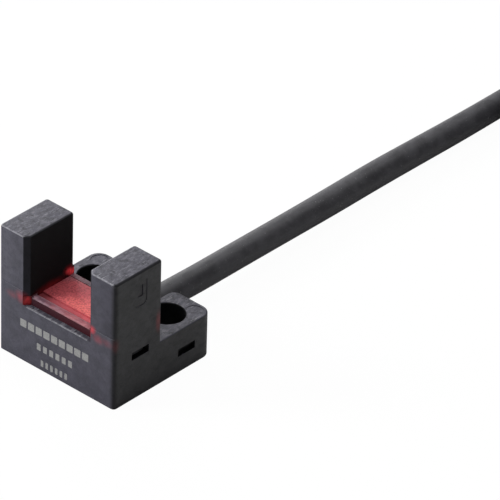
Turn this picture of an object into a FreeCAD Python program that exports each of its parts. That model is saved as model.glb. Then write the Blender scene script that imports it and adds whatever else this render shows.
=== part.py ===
# Micro fork sensor with a cable: a slotted light barrier, in millimetres.
# The origin is the middle of the body's underside. X runs across the slot,
# -Y is the front of the fork, the cable leaves towards +Y, and +Z is up.

import FreeCAD, Part
import math
import os

from FreeCAD import Vector

os.makedirs("parts", exist_ok=True)

# Outside of the case
slot_width = 6.0
post_width = 2.8
post_depth = 4.95
body_depth = 10.5
body_height = 10.8
base_height = 3.65
ear_gap_width = 3.7
ear_gap_from_front = 6.2
lip_height = 4.85
lip_depth = 0.45
mould_line_height = 6.1
mould_line_step = 0.03

# Edges of the case
front_edge_radius = 0.3
post_edge_radius = 0.25
top_edge_radius = 0.2
slot_chamfer = 0.42
ear_outer_radius = 1.0
ear_inner_radius = 0.65
gap_corner_radius = 0.3
ear_top_radius = 0.12

# Walls of the case
outer_wall = 0.7
slot_wall = 0.5
post_roof = 0.55
ledge_roof = 0.6
bridge_roof = 0.75
rear_wall = 0.65
board_seat = 0.4

# Screw holes, windows and marks
hole_diameter = 2.8
hole_pitch = 7.2
hole_from_front = 7.9
hole_rim = 0.08
window_width = 1.8
window_height = 0.66
front_window_from_front = 2.74
front_window_height = 3.77
rear_pocket_from_front = 7.69
rear_pocket_height = 1.68
pocket_depth = 0.4
pin_mark_diameter = 1.4
pin_mark_from_side = 1.0
pin_mark_from_back = 0.95
pin_mark_depth = 0.04

# Optical axis, its mark and the two elements
axis_from_front = 2.71
axis_below_top = 1.7
mark_width = 0.54
mark_height = 0.96
mark_depth = 0.07
mark_field_width = 1.3
mark_field_below = 1.25
mark_field_above = 0.85
mark_field_radius = 0.35
mark_field_depth = 0.05
element_width = 3.0
element_thickness = 1.1
element_below_axis = 1.35
element_above_axis = 1.0
lens_radius = 0.75
lens_rise = 0.32
leg_spacing = 1.27
leg_width = 0.4
leg_thickness = 0.25
leg_from_face = 0.13
leg_below_board = 0.35

# Display cover in the slot floor
cover_back = 4.45
plate_height = 5.5
ridge_height = 5.62
ridge_width = 0.6
groove_width = 0.55
groove_height = 5.38
guide_width = 5.0
guide_front = 1.2
guide_back = 4.2
cheek_length = 1.05
cheek_height = 5.62
rear_tab_length = 0.9
rear_tab_height = 6.2
rear_tab_thickness = 0.3

# Bottom cover
cover_thickness = 0.6
cover_rim = 0.35
cover_corner_radius = 0.3
hook_arm_thickness = 0.42
hook_reach = 0.32
hook_side_gap = 0.1
support_rib_width = 0.25
support_rib_length = 3.0
clamp_side_gap = 0.05

# Circuit board and what sits on it
board_thickness = 0.6
board_back_gap = 0.85
leg_hole_diameter = 0.55
lamp_length = 1.6
lamp_width = 0.8
lamp_height = 0.4
lamp_offset = 1.3
lamp_gap = 0.1
chip_length = 2.4
chip_width = 1.4
chip_height = 0.85
transistor_length = 1.6
transistor_width = 1.2
transistor_height = 0.8
transistor_offset = 3.0
underside_row = 2.15
capacitor_length = 1.4
capacitor_width = 0.7
capacitor_height = 0.7
capacitor_offset = 4.25
capacitor_row = 1.25
resistor_length = 1.0
resistor_width = 0.5
resistor_height = 0.35
resistor_offset = 1.3
resistor_row = 1.75
diode_length = 1.5
diode_width = 0.8
diode_height = 0.6
diode_offset = 3.1
diode_row = 3.55
chip_leg_width = 0.22
chip_leg_reach = 0.25
chip_leg_thickness = 0.12
chip_legs = 4       # legs along each side of the chip
transistor_legs = 2
cap_share = 0.2     # share of a small part's length that one metal end takes

# Cable and its cores
cable_diameter = 2.0
cable_height = 1.7
core_diameter = 0.54
core_ring = 0.43
pad_spacing = 0.95
pad_from_front = 3.9
pad_length = 0.6
solder_diameter = 0.7
core_to_pad_gap = 0.04
core_straight_share = (0.22, 0.45, 0.45, 0.22)

# Route of the cable from the case to its coil, chosen by hand: x, y, z
cable_route = [
    (0.0, 9.0, 1.7),
    (-0.1, 19.5, 1.52),
    (-0.37, 30.5, 1.22),
]

# Long coil of the stored length, on the surface that the sensor stands on
coil_x = 6.95
coil_y = 66.5
coil_half_run = 15.0
coil_columns = 2
coil_layers = 5
coil_middle_radius = 6.5
coil_approach_length = 5.0
coil_entry_beyond = 1.0
coil_edge_chamfer = 0.6
coil_tail_beyond = 3.5
tie_width = 2.5
tie_thickness = 0.3

# Stripped end of the cable
free_core_length = 11.0
free_core_spread = 1.4
free_core_shift = -0.9
tip_length = 3.0
tip_diameter = 0.36

fit = 0.05          # gap each side of a piece that slides into its seat
board_gap = 0.15    # gap round the circuit board
arc_share = 0.45    # share of the shorter run that an arc of a route takes

# Places that several pieces share
half_slot = slot_width / 2
half_body = half_slot + post_width
front = -body_depth / 2
back = body_depth / 2
post_back = front + post_depth
gap_end = front + ear_gap_from_front
cavity_side = half_body - outer_wall
cavity_front = front + outer_wall
cavity_back = gap_end - rear_wall
hollow_inner = half_slot + slot_wall
hollow_back = post_back - outer_wall
board_top = base_height - ledge_roof
board_bottom = board_top - board_thickness
bridge_ceiling = lip_height - bridge_roof
axis_y = front + axis_from_front
axis_height = body_height - axis_below_top
element_back = cavity_side - fit
element_face = element_back - element_thickness
element_floor = axis_height - element_below_axis
element_top = axis_height + element_above_axis
leg_x = element_face + leg_from_face + leg_thickness / 2
window_low = front_window_height - window_height / 2
window_high = front_window_height + window_height / 2
pad_y = front + pad_from_front
cable_radius = cable_diameter / 2
core_radius = core_diameter / 2
through = 1.0       # how far a cutter runs past the face that it opens


def block(x0, x1, y0, y1, z0, z1):
    """Box between its limits."""
    return Part.makeBox(x1 - x0, y1 - y0, z1 - z0, Vector(x0, y0, z0))


def both_sides(shape):
    """The shape and its mirror image across the slot."""
    return [shape, shape.mirror(Vector(0, 0, 0), Vector(1, 0, 0))]


def join(shapes):
    """One solid from shapes that touch or overlap."""
    return shapes[0].multiFuse(shapes[1:]).removeSplitter()


def column(points, z0, z1):
    """Solid of a closed (x, y) outline, drawn upwards."""
    corners = [Vector(x, y, z0) for x, y in points]
    face = Part.Face(Part.makePolygon(corners + corners[:1]))
    return face.extrude(Vector(0, 0, z1 - z0))


def upright_edges(shape, x, y):
    """Vertical edges of a shape that stand at x, y."""
    found = []
    for edge in shape.Edges:
        ends = [vertex.Point for vertex in edge.Vertexes]
        if all(abs(end.x - x) < 1e-6 and abs(end.y - y) < 1e-6 for end in ends):
            found.append(edge)
    return found


def level_edges(shape, z):
    """Edges of a shape that lie flat at height z."""
    return [e for e in shape.Edges
            if abs(e.BoundBox.ZMin - z) < 1e-6 and abs(e.BoundBox.ZMax - z) < 1e-6]


def round_upright(shape, radius, places):
    """Round the vertical edges at the given x, y places."""
    edges = [edge for x, y in places for edge in upright_edges(shape, x, y)]
    return shape.makeFillet(radius, edges)


def rounded_route(points):
    """Wire of straight runs joined by tangent arcs, with its arcs' radii."""
    points = [Vector(*point) for point in points]
    edges, radii = [], []
    start = points[0]
    for before, corner, after in zip(points, points[1:], points[2:]):
        come, leave = corner - before, after - corner
        shorter = min(come.Length, leave.Length)
        half_turn = come.getAngle(leave) / 2
        come.normalize()
        leave.normalize()
        reach = arc_share * shorter
        radius = reach / math.tan(half_turn)
        inward = leave - come
        inward.normalize()
        middle = corner + inward * (radius / math.cos(half_turn) - radius)
        arc_start, arc_end = corner - come * reach, corner + leave * reach
        edges.append(Part.LineSegment(start, arc_start).toShape())
        edges.append(Part.Arc(arc_start, middle, arc_end).toShape())
        radii.append(radius)
        start = arc_end
    edges.append(Part.LineSegment(start, points[-1]).toShape())
    return Part.Wire(edges), radii


def tube(points, radius):
    """Round bar along a rounded route, checked against section times length."""
    route, radii = rounded_route(points)
    direction = Vector(*points[1]) - Vector(*points[0])
    ring = Part.Wire(Part.makeCircle(radius, Vector(*points[0]), direction))
    solid = route.makePipeShell([ring], True, False)
    share = solid.Volume / (math.pi * radius ** 2 * route.Length)
    print("tube length %.2f, volume share %.4f, radii %s"
          % (route.Length, share, [round(r, 1) for r in radii]))
    return solid


def ear_base():
    """Lower case: a plate with two rounded ears and the gap for the cable."""
    half_gap = ear_gap_width / 2
    base = block(-half_body, half_body, front, back, 0, base_height)
    base = base.cut(block(-half_gap, half_gap, gap_end, back + through, -through,
                          base_height + through))
    base = round_upright(base, front_edge_radius, [(-half_body, front), (half_body, front)])
    base = round_upright(base, ear_outer_radius, [(-half_body, back), (half_body, back)])
    base = round_upright(base, ear_inner_radius, [(-half_gap, back), (half_gap, back)])
    base = round_upright(base, gap_corner_radius, [(-half_gap, gap_end), (half_gap, gap_end)])
    return base.makeFillet(ear_top_radius, level_edges(base, base_height))


def chamfer_corner(low, high):
    """Corner that the chamfer takes off the slot side of the right post."""
    return column([(half_slot, front), (half_slot + slot_chamfer, front),
                   (half_slot, front + slot_chamfer)], low, high)


def post():
    """Right post of the fork, solid, with its rounded and chamfered edges."""
    body = block(half_slot, half_body, front, post_back, 0, body_height)
    body = round_upright(body, front_edge_radius, [(half_body, front)])
    body = round_upright(body, post_edge_radius, [(half_body, post_back), (half_slot, post_back)])
    body = body.cut(chamfer_corner(-through, body_height + through))
    body = body.makeFillet(top_edge_radius, level_edges(body, body_height))
    step = block(half_slot - through, half_body + through, front - through,
                 front + mould_line_step, mould_line_height, body_height + through)
    return body.cut(step)


def bridge():
    """Block under the slot, which also fills the foot of each post's inner edges."""
    side = half_slot + slot_wall
    return block(-side, side, front, post_back, 0, plate_height)


def cheek_seat(grow):
    """Place of the display cover's front cheek and rear tab beside the slot."""
    cheek = block(half_slot - through, half_slot + slot_chamfer, front,
                  front + cheek_length + grow, lip_height, cheek_height + grow)
    cheek = cheek.cut(chamfer_corner(0, body_height))
    tab = block(half_slot - through, half_slot + rear_tab_thickness,
                post_back - rear_tab_length - grow, post_back,
                lip_height, rear_tab_height + grow)
    return [cheek, tab]


def slot_floor_opening():
    """Room for the display cover, open at the slot and through to the board."""
    floor = block(-half_slot, half_slot, front - through, front + cover_back + fit,
                  lip_height, body_height + through)
    guide = block(-guide_width / 2 - fit, guide_width / 2 + fit,
                  front + guide_front - fit, front + guide_back + fit,
                  bridge_ceiling - through, lip_height + through)
    corners = both_sides(chamfer_corner(lip_height, plate_height + through))
    seats = [seat for piece in cheek_seat(fit) for seat in both_sides(piece)]
    return [floor, guide] + corners + seats


def hollow():
    """Room inside the case: base, bridge, both posts and the two element pockets."""
    base = block(-cavity_side, cavity_side, cavity_front, cavity_back, -through, board_top)
    under_bridge = block(-hollow_inner, hollow_inner, cavity_front + board_seat, hollow_back,
                         board_top - through, bridge_ceiling)
    post_room = block(hollow_inner, cavity_side, cavity_front, hollow_back,
                      board_top - through, element_floor)
    half_pocket = element_width / 2 + fit
    pocket = block(hollow_inner, cavity_side, axis_y - half_pocket, axis_y + half_pocket,
                   element_floor - through, body_height - post_roof)
    return [base, under_bridge] + both_sides(post_room) + both_sides(pocket)


def cable_notch(extra):
    """U-shaped notch of the rear wall, open downwards, that the cable lies in."""
    radius = cable_radius + extra
    arch = Part.makeCylinder(radius, rear_wall + 2 * through,
                             Vector(0, cavity_back - through, cable_height), Vector(0, 1, 0))
    sides = block(-radius, radius, cavity_back - through, gap_end + through,
                  -through, cable_height)
    return arch.fuse(sides)


def rebate():
    """Step round the open underside that the bottom cover fills."""
    side = cavity_side + cover_rim
    step = block(-side, side, cavity_front - cover_rim, cavity_back + cover_rim,
                 -through, cover_thickness)
    corners = [(x, y) for x in (-side, side)
               for y in (cavity_front - cover_rim, cavity_back + cover_rim)]
    return round_upright(step, cover_corner_radius, corners)


def side_openings():
    """Front hook windows, which go through, and rear pockets, which don't."""
    window_y = front + front_window_from_front
    pocket_y = front + rear_pocket_from_front
    half = window_width / 2
    window = block(cavity_side - through / 2, half_body + through, window_y - half,
                   window_y + half, window_low, window_high)
    pocket = block(half_body - pocket_depth, half_body + through, pocket_y - half,
                   pocket_y + half, rear_pocket_height - window_height / 2,
                   rear_pocket_height + window_height / 2)
    return both_sides(window) + both_sides(pocket)


def axis_mark():
    """Two-step recess on the post's outer face at the optical axis."""
    half = mark_field_width / 2
    field_face = half_body - mark_field_depth
    field = block(field_face, half_body + through, axis_y - half, axis_y + half,
                  axis_height - mark_field_below, axis_height + mark_field_above)
    lower = [e for e in level_edges(field, axis_height - mark_field_below)
             if e.BoundBox.XLength > through / 2]
    field = field.makeFillet(mark_field_radius, lower)
    window = block(field_face - mark_depth, half_body + through,
                   axis_y - mark_width / 2, axis_y + mark_width / 2,
                   axis_height - mark_height / 2, axis_height + mark_height / 2)
    return both_sides(field) + both_sides(window)


def screw_holes():
    """Through holes of both ears, with a small broken rim at the top."""
    place = Vector(hole_pitch / 2, front + hole_from_front, -through)
    hole = Part.makeCylinder(hole_diameter / 2, base_height + 2 * through, place)
    rim_foot = Vector(place.x, place.y, base_height - hole_rim)
    rim = Part.makeCone(hole_diameter / 2, hole_diameter / 2 + 2 * hole_rim, 2 * hole_rim, rim_foot)
    return both_sides(hole) + both_sides(rim)


def pin_marks():
    """Shallow round marks at the outer back corners of the ears."""
    foot = Vector(half_body - pin_mark_from_side, back - pin_mark_from_back,
                  base_height - pin_mark_depth)
    return both_sides(Part.makeCylinder(pin_mark_diameter / 2, through, foot))


def housing():
    """Moulded case: two hollow posts, slot floor, ears and an open underside."""
    shell = join([ear_base()] + both_sides(post()) + [bridge()])
    cutters = slot_floor_opening() + hollow() + [cable_notch(fit), rebate()]
    cutters += side_openings() + axis_mark() + screw_holes() + pin_marks()
    for cutter in cutters:
        shell = shell.cut(cutter)
    return shell.removeSplitter()


def ridge_section():
    """Closed (y, z) face of the display cover: ridge, groove and plate."""
    y0, y1 = front + lip_depth, front + cover_back
    ridge_end = y0 + ridge_width
    plate_start = ridge_end + groove_width
    shoulder = groove_height + (ridge_height - groove_height) / 3

    def at(y, z):
        return Vector(0, y, z)

    top = at((y0 + ridge_end) / 2, ridge_height)
    edges = [
        Part.LineSegment(at(y1, lip_height), at(y0, lip_height)),
        Part.LineSegment(at(y0, lip_height), at(y0, shoulder)),
        Part.Arc(at(y0, shoulder), top, at(ridge_end, shoulder)),
        Part.LineSegment(at(ridge_end, shoulder), at(ridge_end, groove_height)),
        Part.LineSegment(at(ridge_end, groove_height), at(plate_start, groove_height)),
        Part.LineSegment(at(plate_start, groove_height), at(plate_start, plate_height)),
        Part.LineSegment(at(plate_start, plate_height), at(y1, plate_height)),
        Part.LineSegment(at(y1, plate_height), at(y1, lip_height)),
    ]
    return Part.Face(Part.Wire([edge.toShape() for edge in edges]))


def display_cover():
    """Red light guide: ridge and plate in the slot floor, cheeks, tabs and a stem."""
    half = half_slot - fit
    section = ridge_section()
    section.translate(Vector(-half, 0, 0))
    top = section.extrude(Vector(2 * half, 0, 0))
    guide_foot = board_top + lamp_height + lamp_gap
    stem = block(-guide_width / 2, guide_width / 2, front + guide_front, front + guide_back,
                 guide_foot, lip_height + fit)
    cheek, tab = cheek_seat(0)
    inside = block(half - fit, half_body, front + lip_depth, post_back, lip_height, body_height)
    beside = block(half_slot, half_body, front, post_back, lip_height, body_height)
    cheek = cheek.common(inside.fuse(beside))
    link = block(half - fit, half_slot + rear_tab_thickness, post_back - rear_tab_length,
                 front + cover_back, lip_height, plate_height)
    tab = tab.common(beside).fuse(link)
    return join([top, stem] + both_sides(cheek) + both_sides(tab))


def hook():
    """Snap arm of the bottom cover, with its nose in the right front window."""
    window_y = front + front_window_from_front
    half = window_width / 2 - hook_side_gap
    arm_out = cavity_side - fit
    nose_low, nose_high = window_low + fit, window_high - fit
    points = [(arm_out - hook_arm_thickness, 0), (arm_out, 0), (arm_out, nose_low),
              (arm_out + hook_reach, nose_low), (arm_out, nose_high),
              (arm_out - hook_arm_thickness, nose_high)]
    corners = [Vector(x, window_y - half, z) for x, z in points]
    face = Part.Face(Part.makePolygon(corners + corners[:1]))
    return face.extrude(Vector(0, 2 * half, 0))


def bottom_cover():
    """Plate that closes the underside, with hooks, board supports and a cable clamp."""
    side = cavity_side + cover_rim - fit
    y0, y1 = cavity_front - cover_rim + fit, cavity_back + cover_rim - fit
    plate = block(-side, side, y0, y1, 0, cover_thickness)
    corners = [(x, y) for x in (-side, side) for y in (y0, y1)]
    plate = round_upright(plate, cover_corner_radius, corners)
    rib_front = cavity_front + board_gap
    rib = block(-support_rib_length / 2, support_rib_length / 2, rib_front,
                rib_front + support_rib_width, 0, board_bottom)
    half = cable_radius - clamp_side_gap
    clamp = block(-half, half, cavity_back + fit, gap_end, 0, cable_height)
    saddle = Part.makeCylinder(cable_radius, body_depth,
                               Vector(0, front, cable_height), Vector(0, 1, 0))
    clamp = clamp.cut(saddle)
    return join([plate, rib, clamp] + both_sides(hook()))


def board_half_width():
    return cavity_side - board_gap


def circuit_board():
    """Board under the slot, notched for the hooks and drilled for the legs."""
    side = board_half_width()
    board = block(-side, side, cavity_front + board_gap, cavity_back - board_back_gap,
                  board_bottom, board_top)
    window_y = front + front_window_from_front
    half = window_width / 2
    arm_in = cavity_side - fit - hook_arm_thickness - fit
    notch = block(arm_in, half_body, window_y - half, window_y + half,
                  board_bottom - through, board_top + through)
    cutters = both_sides(notch)
    for y in leg_places():
        hole = Part.makeCylinder(leg_hole_diameter / 2, board_thickness + 2 * through,
                                 Vector(leg_x, y, board_bottom - through))
        cutters += both_sides(hole)
    for cutter in cutters:
        board = board.cut(cutter)
    return board


def leg_places():
    """Y of the two legs of an element."""
    return [axis_y - leg_spacing / 2, axis_y + leg_spacing / 2]


def element():
    """Side-looking optical package of the right post, with its lens to the slot."""
    package = block(element_face, element_back, axis_y - element_width / 2,
                    axis_y + element_width / 2, element_floor, element_top)
    package = package.makeFillet(top_edge_radius, [
        e for e in level_edges(package, element_top) if e.BoundBox.XLength > fit])
    ball_radius = (lens_radius ** 2 + lens_rise ** 2) / (2 * lens_rise)
    ball = Part.makeSphere(ball_radius, Vector(element_face - lens_rise + ball_radius,
                                               axis_y, axis_height))
    side = element_face + fit
    keep = block(element_face - lens_rise, side, axis_y - lens_radius, axis_y + lens_radius,
                 axis_height - lens_radius, axis_height + lens_radius)
    return join([package, ball.common(keep)])


def element_legs():
    """Two legs from the right element down through the board."""
    low = board_bottom - leg_below_board
    return [block(leg_x - leg_thickness / 2, leg_x + leg_thickness / 2,
                  y - leg_width / 2, y + leg_width / 2, low, element_floor)
            for y in leg_places()]


def on_board(shape, x, y, top):
    """Move a shape that stands at the origin to its place on or under the board."""
    placed = shape.copy()
    if top:
        placed.translate(Vector(x, y, board_top))
        return placed
    placed = placed.mirror(Vector(0, 0, 0), Vector(0, 0, 1))
    placed.translate(Vector(x, y, board_bottom))
    return placed


def end_cap_part(length, width, height):
    """Chip resistor, capacitor or lamp: a body between two thicker metal ends."""
    cap = length * cap_share
    body = block(-length / 2, length / 2, -width / 2 + fit / 2, width / 2 - fit / 2,
                 fit / 2, height - fit / 2)
    ends = [block(x, x + cap, -width / 2, width / 2, 0, height)
            for x in (-length / 2, length / 2 - cap)]
    return join([body] + ends)


def legged_part(length, width, height, legs):
    """Moulded package with bent legs along both long sides."""
    body = block(-length / 2, length / 2, -width / 2, width / 2, chip_leg_thickness, height)
    pieces = [body]
    for index in range(legs):
        x = (index - (legs - 1) / 2) * length / legs
        for side in (-1, 1):
            inner, outer = side * (width / 2 - fit), side * (width / 2 + chip_leg_reach)
            low, high = sorted((inner, outer))
            foot = block(x - chip_leg_width / 2, x + chip_leg_width / 2, low, high,
                         0, 2 * chip_leg_thickness)
            pieces.append(foot)
    return join(pieces)


def mounted_parts():
    """Parts on both faces of the board, by node name."""
    lamp = end_cap_part(lamp_length, lamp_width, lamp_height)
    resistor = end_cap_part(resistor_length, resistor_width, resistor_height)
    capacitor = end_cap_part(capacitor_length, capacitor_width, capacitor_height)
    transistor = legged_part(transistor_length, transistor_width, transistor_height,
                             transistor_legs)
    chip = legged_part(chip_length, chip_width, chip_height, chip_legs)
    diode = end_cap_part(diode_length, diode_width, diode_height)
    chip_y, row = front + underside_row, front + resistor_row
    return {
        "operation_lamp_left": on_board(lamp, -lamp_offset, axis_y, True),
        "operation_lamp_right": on_board(lamp, lamp_offset, axis_y, True),
        "lamp_resistor_left": on_board(resistor, -resistor_offset, row, True),
        "lamp_resistor_right": on_board(resistor, resistor_offset, row, True),
        "emitter_resistor": on_board(resistor, 0, front + diode_row, True),
        "supply_capacitor": on_board(capacitor, capacitor_offset, front + capacitor_row, True),
        "filter_capacitor": on_board(capacitor, -capacitor_offset, front + capacitor_row, True),
        "amplifier_chip": on_board(chip, 0, chip_y, False),
        "output_transistor_left": on_board(transistor, -transistor_offset, chip_y, False),
        "output_transistor_right": on_board(transistor, transistor_offset, chip_y, False),
        "reverse_diode": on_board(diode, diode_offset, front + diode_row, False),
    }


def fan_place(index):
    """Place of one of the four cores in a row with unit spacing."""
    return index - 1.5


def core_starts(y, z):
    """The four cores' places in the jacket's section, left to right at the board."""
    off = core_ring / math.sqrt(2)
    return {
        "brown": (-off, y, z + off),
        "black": (-off, y, z - off),
        "white": (off, y, z - off),
        "blue": (off, y, z + off),
    }


def pad_place(index):
    return fan_place(index) * pad_spacing


def bead_level():
    return board_bottom - core_radius - core_to_pad_gap


def solder_bead(index, core):
    """Bead that joins a core to its pad under the board."""
    radius = solder_diameter / 2
    x = pad_place(index)
    bead = Part.makeCylinder(radius, pad_length / 2,
                             Vector(x, pad_y - pad_length, bead_level()), Vector(0, 1, 0))
    limit = block(x - radius, x + radius, pad_y - pad_length, pad_y, 0, board_bottom)
    return bead.common(limit).cut(core)


def leg_bead(y):
    """Cone of solder round a leg of the right element, under the board."""
    height = leg_below_board
    cone = Part.makeCone(leg_hole_diameter / 2, leg_thickness, height,
                         Vector(leg_x, y, board_bottom), Vector(0, 0, -1))
    return cone.cut(element_legs()[leg_places().index(y)])


def inner_cores():
    """Short cores from the jacket's cut end into the solder on their pads."""
    cores = {}
    for index, (name, start) in enumerate(core_starts(cavity_back, cable_height).items()):
        bend_y = cavity_back - core_straight_share[index] * (cavity_back - pad_y)
        end = (pad_place(index), pad_y - pad_length / 2, bead_level())
        cores[name + "_core"] = tube([start, (start[0], bend_y, start[2]), end], core_radius)
    return cores


def cable():
    """Jacket from inside the rear wall to the coil."""
    entry_x = coil_x - outer_turn_radius()
    start = [(0, cavity_back, cable_height)]
    end = [(entry_x, entry_y() - coil_approach_length, cable_radius),
           (entry_x, entry_y(), cable_radius)]
    return tube(start + cable_route + end, cable_radius)


def outer_turn_radius():
    return coil_middle_radius + (coil_columns - 1) * cable_radius


def coil_limits():
    """Inner and outer radius at the coil's round ends, and its height."""
    inner = coil_middle_radius - coil_columns * cable_radius
    outer = coil_middle_radius + coil_columns * cable_radius
    return inner, outer, coil_layers * cable_diameter


def entry_y():
    """Where the cable meets the coil's strand, just before the round end."""
    outer = coil_limits()[1]
    clear = outer_turn_radius() - cable_radius
    return coil_y - coil_half_run - math.sqrt(outer ** 2 - clear ** 2) - coil_entry_beyond


def tail_x():
    """The last turn lies round the bundle and leaves it here."""
    return coil_x + outer_turn_radius() + cable_diameter


def tail_y():
    return coil_y - coil_half_run - coil_tail_beyond


def long_round(radius, low, high):
    """Solid with two straight sides and two round ends, about the coil's middle."""
    ends = [Part.makeCylinder(radius, high - low, Vector(coil_x, coil_y + y, low))
            for y in (-coil_half_run, coil_half_run)]
    sides = block(coil_x - radius, coil_x + radius, coil_y - coil_half_run,
                  coil_y + coil_half_run, low, high)
    return join([sides] + ends)


def bundle(radius):
    """The same solid with broken edges, just inside the turns' limits."""
    low, high = fit, coil_limits()[2] - fit
    solid = long_round(radius - fit, low, high)
    return solid.makeChamfer(coil_edge_chamfer, level_edges(solid, low) + level_edges(solid, high))


def wound_turns():
    """All the turns, with the last one round the far end and both sides."""
    inner, outer, height = coil_limits()
    last_turn = bundle(outer + cable_diameter)
    reach = outer + cable_diameter + through
    near_end = block(coil_x - reach, coil_x + reach, coil_y - coil_half_run - reach,
                     coil_y - coil_half_run, -through, height + through)
    turns = join([bundle(outer), last_turn.cut(near_end)])
    return turns.cut(long_round(inner + fit, -through, height + through))


def coil_tie():
    """Band round the middle of the bundle, level with the floor at its underside."""
    outer, height = coil_limits()[1] + cable_diameter, coil_limits()[2]
    half = tie_width / 2
    band = block(coil_x - outer - tie_thickness, coil_x + outer + tie_thickness,
                 coil_y - half, coil_y + half, 0, height + tie_thickness)
    return band.cut(block(coil_x - outer, coil_x + outer, coil_y - half - through,
                          coil_y + half + through, tie_thickness, height))


def cable_coil(tie):
    """Outer shape of the tied coil, with the lowest strands that enter and leave it."""
    far = coil_y + coil_half_run
    strands = [Part.makeCylinder(cable_radius, far - near, Vector(x, near, cable_radius),
                                 Vector(0, 1, 0))
               for x, near in ((coil_x - outer_turn_radius(), entry_y()), (tail_x(), tail_y()))]
    return join([wound_turns()] + strands).cut(tie)


def free_cores():
    """Stripped cores at the far end, fanned out on the floor, and their bare tips."""
    x0, y0 = tail_x(), tail_y()
    cores, tips = {}, []
    for index, (name, start) in enumerate(core_starts(y0, cable_radius).items()):
        fan = fan_place(index) * free_core_spread + free_core_shift
        first = Vector(x0 + start[0], start[1], start[2])
        last = Vector(x0 + fan, y0 - free_core_length, core_radius)
        level = Vector(last.x - first.x, last.y - first.y, 0)
        bar = Part.makeCylinder(core_radius, (last - first).Length + through, last, first - last)
        core = bar.cut(block(x0 - half_body, x0 + half_body, y0, y0 + 2 * through,
                             0, body_height))
        cores["free_" + name + "_core"] = core
        tips.append(Part.makeCylinder(tip_diameter / 2, tip_length, last, level).cut(core))
    return cores, Part.makeCompound(tips)


def save(name, shape):
    """Write one piece and say what it is."""
    solids = shape.Solids
    print("%-26s solids %d  volume %.3f  valid %s"
          % (name, len(solids), shape.Volume, shape.isValid()))
    shape.exportStep("parts/" + name + ".step")


def build():
    """Every piece, by node name."""
    tie = coil_tie()
    cores, tips = free_cores()
    right_element = element()
    right_legs = Part.makeCompound(element_legs())
    inner = inner_cores()
    beads = [solder_bead(index, core) for index, core in enumerate(inner.values())]
    beads += [bead for y in leg_places() for bead in both_sides(leg_bead(y))]
    pieces = {
        "housing": housing(),
        "display_cover": display_cover(),
        "bottom_cover": bottom_cover(),
        "circuit_board": circuit_board(),
        "infrared_emitter": right_element,
        "phototransistor": both_sides(right_element)[1],
        "emitter_legs": right_legs,
        "phototransistor_legs": both_sides(right_legs)[1],
        "solder_joints": Part.makeCompound(beads),
        "cable": cable(),
        "coil_tie": tie,
        "cable_coil": cable_coil(tie),
        "bare_tips": tips,
    }
    pieces.update(mounted_parts())
    pieces.update(inner)
    pieces.update(cores)
    return pieces


for piece_name, piece in build().items():
    save(piece_name, piece)
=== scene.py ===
import math

import bmesh
import bpy
from mathutils import Matrix, Vector


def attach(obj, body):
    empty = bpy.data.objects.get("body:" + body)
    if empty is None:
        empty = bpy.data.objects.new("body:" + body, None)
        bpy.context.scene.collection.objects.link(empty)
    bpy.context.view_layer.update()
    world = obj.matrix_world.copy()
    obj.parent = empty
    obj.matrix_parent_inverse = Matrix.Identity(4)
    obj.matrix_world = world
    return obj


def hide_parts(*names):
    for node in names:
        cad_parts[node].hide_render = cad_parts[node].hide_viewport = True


# Fork sensor with its cable, in metres. X runs across the slot, -Y is the front, +Z is up.

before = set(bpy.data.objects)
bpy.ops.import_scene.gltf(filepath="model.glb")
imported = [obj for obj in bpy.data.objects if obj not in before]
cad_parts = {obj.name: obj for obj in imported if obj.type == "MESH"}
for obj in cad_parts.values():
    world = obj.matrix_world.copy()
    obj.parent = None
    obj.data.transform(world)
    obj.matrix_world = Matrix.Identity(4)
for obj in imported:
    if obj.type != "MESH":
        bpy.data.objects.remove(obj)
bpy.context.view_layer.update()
mm = 0.001


def inMetres(*values):
    return tuple(value * mm for value in values)


def addToScene(name, data):
    piece = bpy.data.objects.new(name, data)
    bpy.context.scene.collection.objects.link(piece)
    return piece


# The camera stands where the picture was taken from

print("camera")

cameraSet = {
    "place": (0.242918, -0.257779, 0.243189),
    "azimuth": 41.621,
    "elevation": 33.469,
    "roll": 1.657,
    "lens": 420.91,
    "sensorWidth": 36,
    "nearest": 0.05,
    "farthest": 20,
}


def makeCamera():
    data = bpy.data.cameras.new("camera")
    data.lens = cameraSet["lens"]
    data.sensor_width = cameraSet["sensorWidth"]
    data.clip_start = cameraSet["nearest"]
    data.clip_end = cameraSet["farthest"]
    camera = addToScene("camera", data)
    turn = Matrix.Rotation(math.radians(cameraSet["azimuth"]), 4, "Z")
    tilt = Matrix.Rotation(math.radians(90 - cameraSet["elevation"]), 4, "X")
    roll = Matrix.Rotation(math.radians(cameraSet["roll"]), 4, "Z")
    camera.matrix_world = Matrix.Translation(cameraSet["place"]) @ turn @ tilt @ roll
    bpy.context.scene.camera = camera


makeCamera()


# Cable: its run to the coil, the turns, and the last turn that lies round the bundle

print("cable")

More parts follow.
